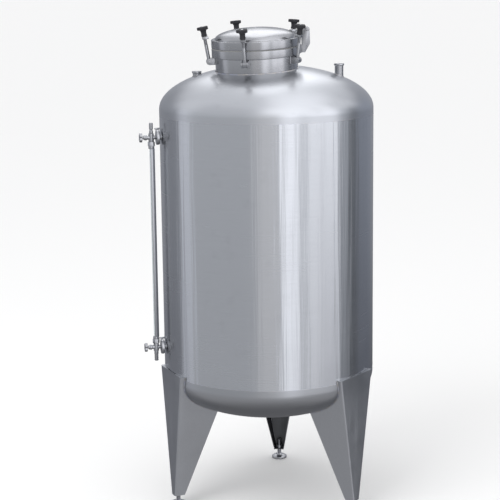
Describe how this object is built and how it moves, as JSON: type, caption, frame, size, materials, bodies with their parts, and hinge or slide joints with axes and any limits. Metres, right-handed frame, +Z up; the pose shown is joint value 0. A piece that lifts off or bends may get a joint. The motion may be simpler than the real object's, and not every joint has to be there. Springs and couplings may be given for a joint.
{
  "type": "beverage tank",
  "caption": "Upright stainless beverage tank with dished ends on three channel legs, with a hinged round manway, swing bolts, star knobs and a side level gauge.",
  "frame": {"origin": "on the floor under the middle of the whole outline, gauge included; the tank axis is the vertical line at x = 0.038 m, y = 0", "axes": "+Z up; the front looks along -Y; +X is to the right of the front; legs at 60 degrees left and right of the front and at the rear"},
  "size_m": [1.0795, 1.0171, 2.28],
  "materials": {
    "tank_steel": "brushed stainless sheet",
    "polished_steel": "fine brushed stainless fittings",
    "gasket_rubber": "food grade rubber",
    "black_plastic": "moulded black plastic",
    "gauge_glass": "clear glass tube"
  },
  "bodies": {
    "tank": {"shell": "tank_steel", "top_head": "tank_steel", "bottom_head": "tank_steel", "left_leg": "tank_steel", "right_leg": "tank_steel", "rear_leg": "tank_steel", "left_foot": "polished_steel", "right_foot": "polished_steel", "rear_foot": "polished_steel", "manway_neck": "polished_steel", "manway_ring": "polished_steel", "manway_gasket": "gasket_rubber", "lid_hinge_bracket": "polished_steel", "lid_hinge_pin": "polished_steel", "upper_gauge_flange": "polished_steel", "lower_gauge_flange": "polished_steel", "upper_gauge_valve": "polished_steel", "lower_gauge_valve": "polished_steel", "upper_gland_nut": "polished_steel", "lower_gland_nut": "polished_steel", "gauge_glass": "gauge_glass", "gauge_guard": "polished_steel", "vent_plug": "polished_steel", "drain_pipe": "polished_steel", "right_nozzle": "polished_steel", "left_nozzle": "polished_steel", "bolt_lug_1": "polished_steel", "bolt_lug_2": "polished_steel", "bolt_lug_3": "polished_steel", "bolt_lug_4": "polished_steel", "bolt_lug_5": "polished_steel"},
    "lid": {"lid": "polished_steel", "lid_hinge_arm": "polished_steel"},
    "upper_handwheel": {"upper_handwheel": "polished_steel"},
    "lower_handwheel": {"lower_handwheel": "polished_steel"},
    "swing_bolt_1": {"swing_bolt_1": "polished_steel"},
    "star_knob_1": {"star_knob_1": "black_plastic"},
    "swing_bolt_2": {"swing_bolt_2": "polished_steel"},
    "star_knob_2": {"star_knob_2": "black_plastic"},
    "swing_bolt_3": {"swing_bolt_3": "polished_steel"},
    "star_knob_3": {"star_knob_3": "black_plastic"},
    "swing_bolt_4": {"swing_bolt_4": "polished_steel"},
    "star_knob_4": {"star_knob_4": "black_plastic"},
    "swing_bolt_5": {"swing_bolt_5": "polished_steel"},
    "star_knob_5": {"star_knob_5": "black_plastic"}
  },
  "joints": [
    {"name": "lid_hinge", "type": "hinge", "parent": "tank", "child": "lid", "pos_m": [0.23246, -0.02514, 2.23851], "axis": [-0.1828, 0.9822, 0.0429], "range_deg": [0, 100]},
    {"name": "swing_bolt_1_pivot", "type": "hinge", "parent": "tank", "child": "swing_bolt_1", "pos_m": [-0.02617, -0.27799, 2.09261], "axis": [0.9911, -0.1311, 0.0216], "range_deg": [-8, 95]},
    {"name": "star_knob_1_turn", "type": "hinge", "parent": "swing_bolt_1", "child": "star_knob_1", "pos_m": [-0.02617, -0.27799, 2.09261], "axis": [-0.046, -0.1862, 0.9814], "continuous": true},
    {"name": "swing_bolt_2_pivot", "type": "hinge", "parent": "tank", "child": "swing_bolt_2", "pos_m": [-0.21211, -0.10167, 2.09599], "axis": [0.1828, -0.9822, -0.0429], "range_deg": [-8, 95]},
    {"name": "star_knob_2_turn", "type": "hinge", "parent": "swing_bolt_2", "child": "star_knob_2", "pos_m": [-0.21211, -0.10167, 2.09599], "axis": [-0.1647, -0.0737, 0.9836], "continuous": true},
    {"name": "swing_bolt_3_pivot", "type": "hinge", "parent": "tank", "child": "swing_bolt_3", "pos_m": [-0.10199, 0.12929, 2.11041], "axis": [-0.8781, -0.476, -0.0481], "range_deg": [-8, 95]},
    {"name": "star_knob_3_turn", "type": "hinge", "parent": "swing_bolt_3", "child": "star_knob_3", "pos_m": [-0.10199, 0.12929, 2.11041], "axis": [-0.0944, 0.0738, 0.9928], "continuous": true},
    {"name": "swing_bolt_4_pivot", "type": "hinge", "parent": "tank", "child": "swing_bolt_4", "pos_m": [0.15202, 0.0957, 2.11595], "axis": [-0.7256, 0.688, 0.0132], "range_deg": [-8, 95]},
    {"name": "star_knob_4_turn", "type": "hinge", "parent": "swing_bolt_4", "child": "star_knob_4", "pos_m": [0.15202, 0.0957, 2.11595], "axis": [0.0677, 0.0523, 0.9963], "continuous": true},
    {"name": "swing_bolt_5_pivot", "type": "hinge", "parent": "tank", "child": "swing_bolt_5", "pos_m": [0.19887, -0.15601, 2.10495], "axis": [0.4297, 0.9012, 0.0563], "range_deg": [-8, 95]},
    {"name": "star_knob_5_turn", "type": "hinge", "parent": "swing_bolt_5", "child": "star_knob_5", "pos_m": [0.19887, -0.15601, 2.10495], "axis": [0.0976, -0.1084, 0.9893], "continuous": true},
    {"name": "upper_handwheel_turn", "type": "hinge", "parent": "tank", "child": "upper_handwheel", "pos_m": [-0.51932, -0.18108, 1.753], "axis": [-0.9511, -0.309, 0], "continuous": true},
    {"name": "lower_handwheel_turn", "type": "hinge", "parent": "tank", "child": "lower_handwheel", "pos_m": [-0.51932, -0.18108, 0.756], "axis": [-0.9511, -0.309, 0], "continuous": true}
  ]
}
